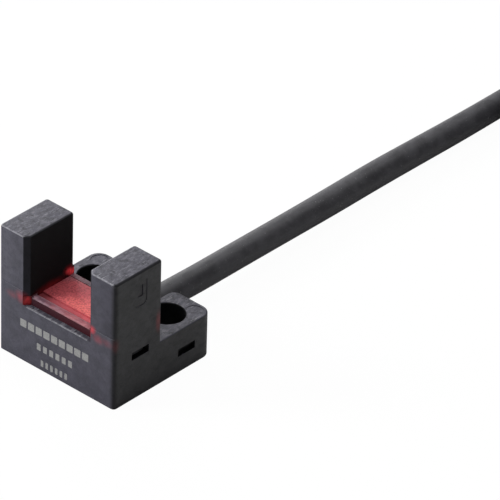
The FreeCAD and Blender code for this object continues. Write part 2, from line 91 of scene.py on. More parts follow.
cable = {
    "diameter": 2.0 * mm,
    "length": 1.0,
    "exit": inMetres(0, 0.95, 1.7),
    # x, y and z of the run to the coil, in mm, and its thickness there as a share of the diameter
    "run": [
        (0.0, 0.3, 1.70, 1.0), (0.0, 1.6, 1.70, 1.0), (0.0, 3.6, 1.72, 1.03),
        (0.0, 6.2, 1.74, 1.05), (0.0, 9.6, 1.62, 1.055), (-0.04, 14.0, 1.58, 1.05),
        (-0.10, 19.5, 1.48, 1.045), (-0.24, 25.0, 1.33, 1.07), (-0.37, 30.0, 1.27, 1.08),
        (-0.46, 35.0, 1.10, 1.05), (-0.43, 40.02, 1.03, 1.03), (-0.48, 45.02, 1.00, 1.0),
    ],
    "coilMiddle": inMetres(6.95, 66.5),
    "halfRun": 15.0 * mm,
    "middleRadius": 6.5 * mm,
    "tailBeyond": 3.5 * mm,
    "tailShares": (0.1, 0.2, 0.35, 0.5, 0.65, 0.85, 1.0),
    "tailTurns": 0.335,
    "pointsPerTurn": 32,
    "turns": 8.5,
    "firstRadius": 7.5 * mm,
    "firstHeight": 1.0 * mm,
    # from this turn to that one, the radius or the height grows by so much
    "radiusSteps": [
        (0.90, 1.00, -2.0 * mm), (2.68, 2.78, 2.0 * mm), (4.46, 4.56, -2.0 * mm),
        (6.24, 6.34, 2.0 * mm), (8.01, 8.11, 2.0 * mm),
    ],
    "heightSteps": [
        (1.79, 1.89, 2.0 * mm), (3.57, 3.67, 2.0 * mm), (5.35, 5.45, 2.0 * mm),
        (7.13, 7.23, 2.0 * mm), (8.12, 8.60, -8.0 * mm),
    ],
    "tieReach": 6.0 * mm,
    "tieThickness": 0.3 * mm,
    "topHeight": 9.0 * mm,
    "roundness": 5,
    "stepsPerPoint": 4,
}


def smoothStep(value, start, end):
    share = min(max((value - start) / (end - start), 0.0), 1.0)
    return share * share * (3 - 2 * share)


def stepped(turn, first, steps):
    return first + sum(size * smoothStep(turn, start, end) for start, end, size in steps)


def liftedAtTie(y, height):
    near = 1 - smoothStep(abs(y), 0, cable["tieReach"])
    low, high = cable["firstHeight"], cable["topHeight"]
    return height + near * cable["tieThickness"] * (high - height) / (high - low)


def placeOnTurn(turn, radius):
    half = cable["halfRun"]
    runShare = 2 * half / (4 * half + 2 * math.pi * cable["middleRadius"])
    halfTurns, share = divmod(turn * 2, 1)
    side = -1 if halfTurns % 2 == 0 else 1      # the near half goes out, the far half comes back
    if share < 2 * runShare:
        x, y = radius, half - 2 * half * share / (2 * runShare)
    else:
        angle = math.pi * (share - 2 * runShare) / (1 - 2 * runShare)
        x, y = radius * math.cos(angle), -half - radius * math.sin(angle)
    return side * x, side * y


def coilPoints():
    points = []
    middleX, middleY = cable["coilMiddle"]
    last = round(cable["turns"] * cable["pointsPerTurn"])
    for index in range(last + 1):
        turn = index / cable["pointsPerTurn"]
        radius = stepped(turn, cable["firstRadius"], cable["radiusSteps"])
        height = stepped(turn, cable["firstHeight"], cable["heightSteps"])
        x, y = placeOnTurn(turn, radius)
        points.append((middleX + x, middleY + y, liftedAtTie(y, height)))
    return points


def cablePoints():
    points = [inMetres(*place) for *place, _ in cable["run"]] + coilPoints()
    endX, endY, _ = points[-1]
    tailLength = 2 * cable["halfRun"] + cable["tailBeyond"]
    for share in cable["tailShares"]:
        turn = cable["turns"] + share * cable["tailTurns"]
        height = stepped(turn, cable["firstHeight"], cable["heightSteps"])
        y = endY - share * tailLength
        points.append((endX, y, liftedAtTie(y - cable["coilMiddle"][1], height)))
    return points


def jacketCurve(name):
    data = bpy.data.curves.new(name, "CURVE")
    data.dimensions = "3D"
    data.bevel_depth = 1.0      # each point's radius is the jacket's there
    data.bevel_resolution = cable["roundness"]
    data.use_fill_caps = True
    data.resolution_u = cable["stepsPerPoint"]
    places = cablePoints()
    swelling = [share for *_, share in cable["run"]]
    swelling += [1.0] * (len(places) - len(swelling))
    spline = data.splines.new("NURBS")
    spline.points.add(len(places) - 1)
    for point, place, share in zip(spline.points, places, swelling):
        point.co = (*place, 1)
        point.radius = cable["diameter"] / 2 * share
    spline.order_u = 3
    spline.use_endpoint_u = True
    return addToScene(name, data)


cableJacket = jacketCurve("cable_jacket")
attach(cableJacket, "root")
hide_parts("cable", "cable_coil")


# A finish is a material with its nodes, built up step by step


class Finish:
    def __init__(self, name, colour, roughness, specular=0.5, metallic=0.0):
        self.material = bpy.data.materials.new(name)
        self.material.use_nodes = True
        self.nodes = self.material.node_tree.nodes
        self.links = self.material.node_tree.links
        self.shader = self.nodes["Principled BSDF"]
        self.shader.inputs["Base Color"].default_value = (*colour, 1)
        self.shader.inputs["Roughness"].default_value = roughness
        self.shader.inputs["Specular IOR Level"].default_value = specular
        self.shader.inputs["Metallic"].default_value = metallic
        self.place = self.nodes.new("ShaderNodeTexCoord").outputs["Object"]

    def node(self, kind, settings=(), **sockets):
        made = self.nodes.new(kind)
        for name, value in dict(settings).items():
            setattr(made, name, value)
        for name, value in sockets.items():
            self.feed(made.inputs[name.replace("_", " ")], value)
        return made

    def feed(self, socket, value):
        if isinstance(value, bpy.types.NodeSocket):
            self.links.new(value, socket)
        else:
            socket.default_value = value

    def noise(self, size, detail=3.0, roughness=0.5, place=None):      # size in mm
        made = self.node("ShaderNodeTexNoise", Scale=1 / (size * mm), Detail=detail,
                         Roughness=roughness, Vector=place or self.place)
        return made.outputs["Fac"]

    def stretched(self, scale, turn=(0, 0, 0)):
        made = self.node("ShaderNodeMapping", Vector=self.place)
        made.inputs["Scale"].default_value = scale
        made.inputs["Rotation"].default_value = turn
        return made.outputs[0]

    def spread(self, value, low, high, start=0.0, end=1.0):
        made = self.node("ShaderNodeMapRange", {"interpolation_type": "SMOOTHSTEP"}, Value=value)
        for name, number in (("From Min", low), ("From Max", high),
                             ("To Min", start), ("To Max", end)):
            made.inputs[name].default_value = number
        return made.outputs["Result"]

    def along(self, value, low, high, start=0.0, end=1.0):      # a spread between places in mm
        return self.spread(value, low * mm, high * mm, start, end)

    def count(self, operation, first, second):
        made = self.node("ShaderNodeMath", {"operation": operation})
        self.feed(made.inputs[0], first)
        self.feed(made.inputs[1], second)
        return made.outputs[0]

    def unsigned(self, value):
        return self.count("ABSOLUTE", value, 0.0)

    def blend(self, share, first, second):
        made = self.node("ShaderNodeMix", {"data_type": "RGBA"})
        self.feed(made.inputs["Factor"], share)
        for socket, value in ((made.inputs[6], first), (made.inputs[7], second)):
            self.feed(socket, value if isinstance(value, bpy.types.NodeSocket) else (*value, 1))
        return made.outputs[2]

    def apart(self, vector):
        return self.node("ShaderNodeSeparateXYZ", Vector=vector).outputs

    def spot(self, middle, reach, core=0.0):
        moved = self.node("ShaderNodeVectorMath", {"operation": "SUBTRACT"})
        self.feed(moved.inputs[0], self.place)
        moved.inputs[1].default_value = inMetres(*middle)
        sized = self.node("ShaderNodeVectorMath", {"operation": "DIVIDE"})
        self.feed(sized.inputs[0], moved.outputs[0])
        sized.inputs[1].default_value = inMetres(*reach)
        far = self.node("ShaderNodeVectorMath", {"operation": "LENGTH"})
        self.feed(far.inputs[0], sized.outputs[0])
        return self.spread(far.outputs["Value"], core, 1.0, 1.0, 0.0)

    def near(self, value, middle, half, edge=0.03):      # all in mm
        far = self.unsigned(self.count("SUBTRACT", value, middle * mm))
        return self.along(far, half, half + edge, 1.0, 0.0)

    def product(self, *shares):
        result = shares[0]
        for share in shares[1:]:
            result = self.count("MULTIPLY", result, share)
        return result

    def most(self, *shares):
        result = shares[0]
        for share in shares[1:]:
            result = self.count("MAXIMUM", result, share)
        return result

    def paint(self, colour):
        self.feed(self.shader.inputs["Base Color"], colour)

    def polish(self, roughness):
        self.feed(self.shader.inputs["Roughness"], roughness)

    def relief(self, height, depth, strength):      # depth in mm
        made = self.node("ShaderNodeBump", Height=height, Strength=strength, Distance=depth * mm)
        self.feed(self.shader.inputs["Normal"], made.outputs["Normal"])

    def glow(self, colour, strength):
        self.shader.inputs["Emission Color"].default_value = (*colour, 1)
        self.feed(self.shader.inputs["Emission Strength"], strength)

    def placeAndNormal(self):
        place = self.apart(self.place)
        normal = self.apart(self.node("ShaderNodeNewGeometry").outputs["Normal"])
        return [place[name] for name in "XYZ"], normal


# Case: spark-eroded black plastic, scuffed on its tops, with painted highlights and shade on its
# faces and edges, and a painted red glow where the display's light comes through it

print("case")

caseSet = {
    "colour": (0.062, 0.060, 0.080),
    "dark": (0.046, 0.045, 0.060),
    # darker, less blue copies of the case colour for the side faces: painted shade
    "side": (0.056, 0.056, 0.059),
    "sideDark": (0.044, 0.044, 0.046),
    "scuffed": (0.140, 0.136, 0.160),
    "pit": (0.022, 0.022, 0.028),
    # pale tone of the scratches on the tops, and of the painted highlights on edges
    "wornAndHighlight": (0.32, 0.32, 0.35),
    # near black, for painted shade on edges, corners, the slot, holes and windows
    "inside": (0.004, 0.004, 0.005),
    "roughness": 0.5,
    "specular": 0.28,
    "smoothAngle": 32,
    # noises: size in mm, detail and roughness, and the stretch and turn of those drawn out
    "grain": (0.13, 4.0, 0.6),
    "mottle": (0.9, 5.0, 0.6),
    "strokes": (0.30, 8.0, 0.75),
    "strokeStretch": ((1.0, 0.45, 1.0), (0, 0, 0.6)),
    "pits": (0.60, 8.0, 0.72),
    "scratches": (0.10, 2.0, 0.5),
    "scratchStretch": ((1.0, 0.10, 1.0), (0, 0, -0.9)),
    "blotches": (0.35, 3.0, 0.6),
    "grainRelief": (0.014, 0.9),
    # where a noise or the slope of the surface begins and ends to count, and its shares there
    "mottleSpread": (0.36, 0.66),
    "topSpread": (0.8, 0.98),
    "scuffSpread": (0.44, 0.66),
    "pitSpread": (0.50, 0.36, 0.0, 0.9),
    "scratchSpread": (0.64, 0.72, 0.0, 0.6),
    "frontRimSpread": (-0.28, -0.46),
    "wearAndHighlightSpread": (0.40, 0.60, 0.25, 0.65),
    "glintSpread": (0.46, 0.54),
    "sideSpread": (0.75, 0.95),
    "cornerSpread": (-0.25, -0.45, 0.0, 0.45),
    "shadedRimSpread": (0.10, 0.34, 0.0, 0.7),
    "highlightRimSpread": (-0.20, -0.42, 0.0, 0.45),
    "lineSpread": (0.36, 0.62, 0.25, 0.7),
    "steepSpread": (0.5, 0.8, 1.0, 0.0),
    "blotchSpread": (0.3, 0.7, 0.65, 1.15),
    "roughSpread": (0.0, 1.0, 0.50, 0.68),
    # places in mm, some with the shares there
    "halfWidth": 5.8,
    "front": -5.25,
    "edgeShade": (0.55, 0.12, 0.0, 0.7),
    "rimHeights": (10.2, 10.5),
    # middle and reach of a painted glint at the front top corner of the right post
    "cornerGlint": ((5.65, -5.2, 10.72), (0.45, 0.35, 0.22)),
    "frontDepths": (-5.10, -5.20),
    "lipHighlightLine": (4.84, 0.035, 0.02),
    "lipHalfLength": 3.04,
    "mouldLine": (6.08, 0.02, 0.02),
    "mouldLineShare": 0.25,
    "floorHeights": (5.30, 5.35),
    "slotFaces": (3.01, 3.04, 1.0, 0.0),
    "slotHeights": (10.6, 7.5, 0.8, 1.0),
    "chamferFaces": (3.40, 3.46, 1.0, 0.0),
    "chamferShare": 0.45,
    "slotRoughness": 0.95,
    "holeAxis": (3.6, 2.65),
    "holeRim": (1.42, 1.46, 1.0, 0.0),
    "outerFaces": (5.76, 5.78, 1.0, 0.0),
    "cableGapFaces": (1.90, 2.00),
    # middle y and z and half sizes of each window
    "windows": [(-2.51, 3.77, 0.92, 0.35), (2.44, 1.68, 0.92, 0.35)],
    "glowColour": (0.66, 0.020, 0.030),
    "glowTint": 0.7,
    "glowLight": 0.55,
    # middle, reach and strength of each place where the light shows through
    "glows": [
        ((-3.60, -5.25, 5.45), (0.80, 0.8, 0.75), 0.22),
        ((-4.40, -5.25, 5.30), (1.00, 0.8, 0.50), 0.10),
        ((3.55, -5.25, 6.00), (0.50, 0.8, 0.50), 0.55),
        ((4.15, -5.25, 5.45), (0.80, 0.6, 0.60), 0.16),
        ((5.00, -5.25, 5.50), (1.00, 0.6, 0.50), 0.08),
        ((5.85, -5.15, 5.50), (0.50, 0.6, 0.85), 0.05),
        ((5.80, -0.60, 5.60), (0.50, 0.45, 1.30), 0.11),
        ((-3.05, -2.80, 5.50), (0.25, 2.4, 0.70), 0.12),
        ((-3.05, -0.85, 6.05), (0.25, 0.8, 0.60), 0.22),
        ((-2.20, -0.50, 5.50), (2.40, 0.8, 0.40), 0.11),
    ],
}


def scuffTopsAndPaintHighlights(finish, colour, normal, strokes, scuffs):
    facingUp = finish.spread(normal["Z"], *caseSet["topSpread"])
    colour = finish.blend(finish.product(facingUp, scuffs), colour, caseSet["scuffed"])
    pits = finish.spread(finish.noise(*caseSet["pits"]), *caseSet["pitSpread"])
    colour = finish.blend(finish.product(facingUp, pits), colour, caseSet["pit"])
    scratches = finish.noise(*caseSet["scratches"], finish.stretched(*caseSet["scratchStretch"]))
    scratches = finish.spread(scratches, *caseSet["scratchSpread"])
    colour = finish.blend(finish.product(facingUp, scratches), colour, caseSet["wornAndHighlight"])
    # painted highlight: a pale line along the fillet between top and front, broken up by the
    # strokes, and a painted glint at the right post's front top corner
    frontRim = finish.spread(finish.product(normal["Z"], normal["Y"]), *caseSet["frontRimSpread"])
    wearAndHighlight = finish.most(
        finish.product(frontRim, finish.spread(strokes, *caseSet["wearAndHighlightSpread"])),
        finish.product(finish.spot(*caseSet["cornerGlint"]),
                       finish.spread(strokes, *caseSet["glintSpread"])))
    return finish.blend(wearAndHighlight, colour, caseSet["wornAndHighlight"])


def shadeSides(finish, colour, place, normal, mottle):
    x, y, z = place
    # painted shade: faces turned sideways get a darker, less blue copy of the case colour
    facingSide = finish.spread(finish.unsigned(normal["X"]), *caseSet["sideSpread"])
    side = finish.blend(mottle, caseSet["sideDark"], caseSet["side"])
    colour = finish.blend(facingSide, colour, side)
    # painted shade: the upright fillets between the sides and the front are darkened
    corner = finish.product(finish.unsigned(normal["X"]), normal["Y"])
    colour = finish.blend(finish.spread(corner, *caseSet["cornerSpread"]), colour,
                          caseSet["inside"])
    # painted shade: a dark strip along the front upright edge on the +x side
    fromEdge = finish.count("ADD", finish.count("SUBTRACT", caseSet["halfWidth"] * mm, x),
                            finish.count("SUBTRACT", y, caseSet["front"] * mm))
    colour = finish.blend(finish.along(fromEdge, *caseSet["edgeShade"]), colour,
                          caseSet["inside"])
    # painted shade on the top edges that face +x, and a painted highlight on those that face -x
    rim = finish.product(normal["X"], normal["Z"], finish.along(z, *caseSet["rimHeights"]))
    colour = finish.blend(finish.spread(rim, *caseSet["shadedRimSpread"]), colour,
                          caseSet["inside"])
    return finish.blend(finish.spread(rim, *caseSet["highlightRimSpread"]), colour, caseSet["wornAndHighlight"])


def drawMouldLineAndLipHighlight(finish, colour, place, strokes):
    x, y, z = place
    # the pale line along the top edge of the lip is a painted highlight
    lipHighlight = finish.product(finish.near(z, *caseSet["lipHighlightLine"]),
                         finish.near(x, 0.0, caseSet["lipHalfLength"]))
    mould = finish.product(finish.near(z, *caseSet["mouldLine"]), caseSet["mouldLineShare"])
    lines = finish.product(finish.most(lipHighlight, mould), finish.along(y, *caseSet["frontDepths"]),
                           finish.spread(strokes, *caseSet["lineSpread"]))
    return finish.blend(lines, colour, caseSet["wornAndHighlight"])


def besideSlot(finish, faces, across, z, normal):
    return finish.product(finish.along(across, *caseSet[faces]),
                          finish.along(z, *caseSet["floorHeights"]),
                          finish.spread(normal["Z"], *caseSet["steepSpread"]))


# painted shade: the walls of the screw holes, and what shows through the windows, are painted
# nearly black
def insideShare(finish, across, y, z):
    holeX, holeY = caseSet["holeAxis"]
    sideways = finish.count("SUBTRACT", across, holeX * mm)
    lengthways = finish.count("SUBTRACT", y, holeY * mm)
    squares = finish.count("ADD", finish.product(sideways, sideways),
                           finish.product(lengthways, lengthways))
    shares = [finish.along(finish.count("SQRT", squares, 0.0), *caseSet["holeRim"])]
    behindWall = finish.product(finish.along(across, *caseSet["outerFaces"]),
                                finish.along(across, *caseSet["cableGapFaces"]))
    for middleY, middleZ, halfWidth, halfHeight in caseSet["windows"]:
        shares.append(finish.product(behindWall, finish.near(y, middleY, halfWidth),
                                     finish.near(z, middleZ, halfHeight)))
    return finish.most(*shares)


def glowing(finish, spots):
    return finish.most(*(finish.product(finish.spot(middle, reach), strength)
                         for middle, reach, strength in spots))


def caseFinish():
    finish = Finish("case_black", caseSet["colour"], caseSet["roughness"], caseSet["specular"])
    place, normal = finish.placeAndNormal()
    x, y, z = place
    across = finish.unsigned(x)
    mottle = finish.spread(finish.noise(*caseSet["mottle"]), *caseSet["mottleSpread"])
    strokes = finish.noise(*caseSet["strokes"], finish.stretched(*caseSet["strokeStretch"]))
    colour = finish.blend(mottle, caseSet["dark"], caseSet["colour"])
    scuffs = finish.spread(strokes, *caseSet["scuffSpread"])
    colour = scuffTopsAndPaintHighlights(finish, colour, normal, strokes, scuffs)
    colour = shadeSides(finish, colour, place, normal, mottle)
    colour = drawMouldLineAndLipHighlight(finish, colour, place, strokes)
    # painted shade: the slot's walls are painted nearly black, and its chamfers in part
    onWall = finish.product(besideSlot(finish, "slotFaces", across, z, normal),
                            finish.along(z, *caseSet["slotHeights"]))
    colour = finish.blend(onWall, colour, caseSet["inside"])
    atSlot = besideSlot(finish, "chamferFaces", across, z, normal)
    colour = finish.blend(finish.product(atSlot, caseSet["chamferShare"]), colour,
                          caseSet["inside"])
    colour = finish.blend(insideShare(finish, across, y, z), colour, caseSet["inside"])
    # painted red glow: the case is tinted red and given a faint emission where the display's
    # light shows through
    blotches = finish.spread(finish.noise(*caseSet["blotches"]), *caseSet["blotchSpread"])
    light = finish.product(glowing(finish, caseSet["glows"]), blotches)
    finish.paint(finish.blend(finish.product(light, caseSet["glowTint"]), colour,
                              caseSet["glowColour"]))
    finish.glow(caseSet["glowColour"], finish.product(light, caseSet["glowLight"]))
    finish.polish(finish.most(finish.spread(scuffs, *caseSet["roughSpread"]),
                              finish.product(atSlot, caseSet["slotRoughness"])))
    finish.relief(finish.noise(*caseSet["grain"]), *caseSet["grainRelief"])
    return finish.material


weldDistance = 0.0005 * mm      # joins the facets where their corners meet


def smoothCopy(nodeName, newName, angle):
    form = bmesh.new()
    form.from_mesh(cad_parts[nodeName].data)
    bmesh.ops.remove_doubles(form, verts=form.verts, dist=weldDistance)
    mesh = bpy.data.meshes.new(newName)
    form.to_mesh(mesh)
    form.free()
    if "custom_normal" in mesh.attributes:
        mesh.attributes.remove(mesh.attributes["custom_normal"])
    mesh.shade_smooth()
    mesh.set_sharp_from_angle(angle=math.radians(angle))
    piece = addToScene(newName, mesh)
    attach(piece, "root")
    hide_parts(nodeName)
    return piece


def dress(piece, material):
    piece.data.materials.clear()
    piece.data.materials.append(material)


caseMaterial = caseFinish()
caseShell = smoothCopy("housing", "case_shell", caseSet["smoothAngle"])
dress(caseShell, caseMaterial)


# The strip behind the display cover reaches the posts at both ends

# distances from the middle, depths and heights, in mm
slotEnd = {
    "inner": 2.0,
    "outer": 3.0,
    "front": -0.75,
    "back": -0.30,
    "foot": 4.85,
    "top": 5.50,
}


def slotEndBlocks():
    form = bmesh.new()
    for side in (-1, 1):
        low = Vector((side * slotEnd["inner"], slotEnd["front"], slotEnd["foot"]))
        high = Vector((side * slotEnd["outer"], slotEnd["back"], slotEnd["top"]))
        size = [abs(length) * mm for length in high - low]
        bmesh.ops.create_cube(form, size=1, matrix=Matrix.Translation((low + high) / 2 * mm)
                              @ Matrix.Diagonal((*size, 1)))
    mesh = bpy.data.meshes.new("slot_floor_ends")
    form.to_mesh(mesh)
    form.free()
    piece = addToScene("slot_floor_ends", mesh)
    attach(piece, "root")
    dress(piece, caseMaterial)


slotEndBlocks()


# Display cover: red light guide, painted bright and glowing over its lamps, with a rounded ridge
# in front that carries a painted reflection, highlight and shade

print("display cover")

displaySet = {
    "bright": (0.68, 0.145, 0.138),
    "middle": (0.54, 0.098, 0.116),
    "dull": (0.330, 0.150, 0.180),
    "grainDark": (0.060, 0.014, 0.018),
    # the ridge's painted reflection, highlight and shade, and the band behind it
    "ridge": (0.088, 0.046, 0.064),
    "ridgeHighlight": (0.36, 0.22, 0.26),
    "ridgeFootShade": (0.024, 0.004, 0.009),
    "groove": (0.100, 0.030, 0.038),
    "end": (0.028, 0.002, 0.004),
    "lightColour": (1.0, 0.055, 0.065),
    "roughness": 0.55,
    "specular": 0.2,
    "smoothAngle": 32,
    # noises: size in mm, detail and roughness, and the stretch of those drawn out
    "grain": (0.14, 4.0, 0.7),
    "patch": (0.6, 4.0, 0.6),
    "sheenStreaks": (0.3, 4.0, 0.65),
    "streakStretch": (0.3, 1.0, 1.0),
    "uneven": (0.14, 2.0, 0.5),
    "unevenStretch": (1.0, 1.0, 0.3),
    "grainRelief": (0.010, 0.8),
    # where a noise, the light or the slope begins and ends to count, and its shares there
    "patchSpread": (0.25, 0.75, 0.8, 1.15),
    "middleSpread": (0.0, 0.24),
    "brightSpread": (0.45, 1.0),
    "grainSpread": (0.38, 0.56, 0.5, 0.0),
    "grooveShare": 0.75,
    "streakSpread": (0.38, 0.68, 0.0, 0.5),
    "ridgeLitSpread": (0.35, 1.0, 0.0, 0.3),
    "lineShare": 0.7,
    "ridgeFootSpread": (0.25, 0.75),
    "unevenSpread": (0.3, 0.7, 0.45, 1.15),
    "facingFrontSpread": (-0.35, -0.6),
    "cheekSpread": (0.4, 0.6, 1.0, 0.06),
    "ridgeGlowSpread": (0.0, 1.0, 0.05, 0.02),
    # places in mm
    "grooveDepths": (-3.58, -3.66),
    "ridgeDepths": (-4.16, -4.22),
    "linePlace": (-4.33, 0.04, 0.06),
    "cheekDepths": (-4.60, -4.66),
    "endFaces": (2.90, 2.98),
    # middle, reach and core of the lamp's patch, and the strength of the lit spots at the ends
    "lamp": ((2.2, -3.5, 5.5), (8.4, 4.6, 3.0), 0.05),
    "endSpots": [
        ((-3.1, -5.15, 5.25), (0.60, 0.6, 0.75), 0.24),
        ((-3.0, -0.56, 5.80), (0.5, 0.50, 0.44), 0.55),
        ((-3.0, -0.80, 5.95), (0.5, 0.60, 0.40), 0.30),
        ((3.1, -5.15, 5.5), (0.5, 0.6, 0.7), 0.60),
    ],
}


def plateColour(finish, lit, grain, y):
    plate = finish.blend(finish.spread(lit, *displaySet["middleSpread"]), displaySet["dull"],
                         displaySet["middle"])
    plate = finish.blend(finish.spread(lit, *displaySet["brightSpread"]), plate,
                         displaySet["bright"])
    plate = finish.blend(finish.spread(grain, *displaySet["grainSpread"]), plate,
                         displaySet["grainDark"])
    # painted shade: a darker band in front of the plate, lighter where the lamps' painted light
    # reaches
    groove = finish.blend(finish.product(lit, displaySet["grooveShare"]), displaySet["groove"],
                          displaySet["middle"])
    return finish.blend(finish.along(y, *displaySet["grooveDepths"]), plate, groove)


# the ridge's colours are a painted reflection: streaky lilac and pale pink on its top, a pale
# painted highlight line along it, the lamps' painted light, and painted shade where it turns
# steep
def ridgeColour(finish, lit, y, normal):
    sheenStreaks = finish.noise(*displaySet["sheenStreaks"], finish.stretched(displaySet["streakStretch"]))
    top = finish.blend(finish.spread(sheenStreaks, *displaySet["streakSpread"]), displaySet["ridge"],
                       displaySet["ridgeHighlight"])
    top = finish.blend(finish.spread(lit, *displaySet["ridgeLitSpread"]), top,
                       displaySet["bright"])
    ridgeHighlightLine = finish.product(finish.near(y, *displaySet["linePlace"]), displaySet["lineShare"])
    top = finish.blend(ridgeHighlightLine, top, displaySet["ridgeHighlight"])
    return finish.blend(finish.spread(normal["Z"], *displaySet["ridgeFootSpread"]),
                        displaySet["ridgeFootShade"], top)


def lightAtEnds(finish, atEnds, y, normal):
    uneven = finish.noise(*displaySet["uneven"], finish.stretched(displaySet["unevenStretch"]))
    frontCheek = finish.along(y, *displaySet["cheekDepths"])
    facingFront = finish.spread(normal["Y"], *displaySet["facingFrontSpread"])
    seen = finish.spread(finish.count("SUBTRACT", frontCheek, facingFront),
                         *displaySet["cheekSpread"])
    return finish.product(atEnds, glowing(finish, displaySet["endSpots"]),
                          finish.spread(uneven, *displaySet["unevenSpread"]), seen)


def displayFinish():
    finish = Finish("display_red", displaySet["bright"], displaySet["roughness"],
                    displaySet["specular"])
    (x, y, _), normal = finish.placeAndNormal()
    grain = finish.noise(*displaySet["grain"])
    patch = finish.spread(finish.noise(*displaySet["patch"]), *displaySet["patchSpread"])
    # painted light: the lamps' light is painted into the plate as a brighter, redder patch, and
    # given off as a glow
    lit = finish.product(finish.spot(*displaySet["lamp"]), patch)
    onRidge = finish.along(y, *displaySet["ridgeDepths"])
    atEnds = finish.along(finish.unsigned(x), *displaySet["endFaces"])
    colour = finish.blend(onRidge, plateColour(finish, lit, grain, y),
                          ridgeColour(finish, lit, y, normal))
    # painted shade: the end faces beside the posts are nearly black, with a painted glow where
    # light leaks there
    finish.paint(finish.blend(atEnds, colour, displaySet["end"]))
    fromLamp = finish.product(lit, finish.spread(onRidge, *displaySet["ridgeGlowSpread"]))
    finish.glow(displaySet["lightColour"],
                finish.most(lightAtEnds(finish, atEnds, y, normal), fromLamp))
    finish.relief(grain, *displaySet["grainRelief"])
    return finish.material


displayPlate = smoothCopy("display_cover", "display_plate", displaySet["smoothAngle"])
dress(displayPlate, displayFinish())


# Front print: plain bars of pale ink, a little proud of the case

print("front print")

printSet = {
    "ink": (0.27, 0.27, 0.265),
    "wornInk": (0.16, 0.16, 0.17),
    "roughness": 0.6,
    "specular": 0.3,
    "wearAndHighlight": (0.12, 4.0, 0.7),
    "wearAndHighlightSpread": (0.35, 0.6, 0.55, 0.0),
    "grain": (0.1, 3.0),
    "grainRelief": (0.006, 0.7),
    "thickness": 0.010 * mm,
    "face": -5.25 * mm,
    # left end, right end, foot, head, bars and the share of a step that a bar fills
    "rows": [
        (-3.72, 3.30, 2.98, 3.62, 9, 0.80),
        (-2.08, 1.72, 1.66, 2.22, 6, 0.62),
        (-1.66, 1.22, 0.36, 0.90, 6, 0.55),
    ],
    "corner": 0.06 * mm,
    "cornerSteps": 3,
}


def inkFinish():
    finish = Finish("pale_ink", printSet["ink"], printSet["roughness"], printSet["specular"])
    wornAndHighlight = finish.spread(finish.noise(*printSet["wearAndHighlight"]), *printSet["wearAndHighlightSpread"])
    finish.paint(finish.blend(wornAndHighlight, printSet["ink"], printSet["wornInk"]))
    finish.relief(finish.noise(*printSet["grain"]), *printSet["grainRelief"])
    return finish.material


def printBars():
    form = bmesh.new()
    for left, right, foot, head, bars, share in printSet["rows"]:
        step = (right - left) / bars
        for index in range(bars):
            middle = left + (index + 0.5) * step
            size = Matrix.Diagonal((step * share * mm, printSet["thickness"],
                                    (head - foot) * mm, 1))
            place = Matrix.Translation((middle * mm, printSet["face"] - printSet["thickness"] / 2,
                                        (foot + head) / 2 * mm))
            bmesh.ops.create_cube(form, size=1, matrix=place @ size)
    upright = [edge for edge in form.edges
               if abs((edge.verts[0].co - edge.verts[1].co).y) > printSet["thickness"] / 2]
    bmesh.ops.bevel(form, geom=upright, offset=printSet["corner"], affect="EDGES",
                    segments=printSet["cornerSteps"], profile=0.5, material=-1)
    mesh = bpy.data.meshes.new("front_print")
    form.to_mesh(mesh)
    form.free()
    piece = addToScene("front_print", mesh)
    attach(piece, "root")
    dress(piece, inkFinish())


printBars()


# Jacket, cores, tie and the pieces inside

print("cable finishes and inner pieces")

jacketSet = {
    "colour": (0.040, 0.039, 0.044),
    "light": (0.064, 0.063, 0.070),
    "speck": (0.24, 0.24, 0.25),
    "roughness": 0.5,
    "specular": 0.35,
    "mottle": (1.3, 6.0, 0.65),
    "mottleSpread": (0.35, 0.68),
    "specks": (0.15, 2.0, 0.6),
    "speckSpread": (0.67, 0.75, 0.0, 0.6),
    "roughSpread": (0.0, 1.0, 0.44, 0.58),
    "grain": (0.16, 4.0, 0.65),
    "grainRelief": (0.014, 0.9),
}


def jacketFinish():
    finish = Finish("jacket_grey", jacketSet["colour"], jacketSet["roughness"],
                    jacketSet["specular"])
    mottle = finish.spread(finish.noise(*jacketSet["mottle"]), *jacketSet["mottleSpread"])
    colour = finish.blend(mottle, jacketSet["colour"], jacketSet["light"])
    specks = finish.spread(finish.noise(*jacketSet["specks"]), *jacketSet["speckSpread"])
    finish.paint(finish.blend(specks, colour, jacketSet["speck"]))
    finish.polish(finish.spread(mottle, *jacketSet["roughSpread"]))
    finish.relief(finish.noise(*jacketSet["grain"]), *jacketSet["grainRelief"])
    return finish.material


dress(cableJacket, jacketFinish())

tieSet = {
    "colour": (0.020, 0.020, 0.022),
    "light": (0.032, 0.032, 0.034),
    "ridge": (0.055, 0.055, 0.058),
    "roughness": 0.55,
    "specular": 0.3,
    "mottle": (0.6, 5.0, 0.6),
    "mottleSpread": (0.35, 0.68),
    "flatSpread": (0.4, 0.6),
    "ridgePlace": (66.5, 0.72, 0.06),
    "ridgeScale": 700.0,
    "ridgeShare": 0.5,
    "ridgeRelief": (0.12, 1.0),
}


def tieRidges(finish, direction, slope):
    wave = finish.node("ShaderNodeTexWave", {"wave_type": "BANDS", "bands_direction": direction},
                       Scale=tieSet["ridgeScale"], Vector=finish.place)
    return finish.product(wave.outputs["Fac"],
                          finish.spread(finish.unsigned(slope), *tieSet["flatSpread"]))


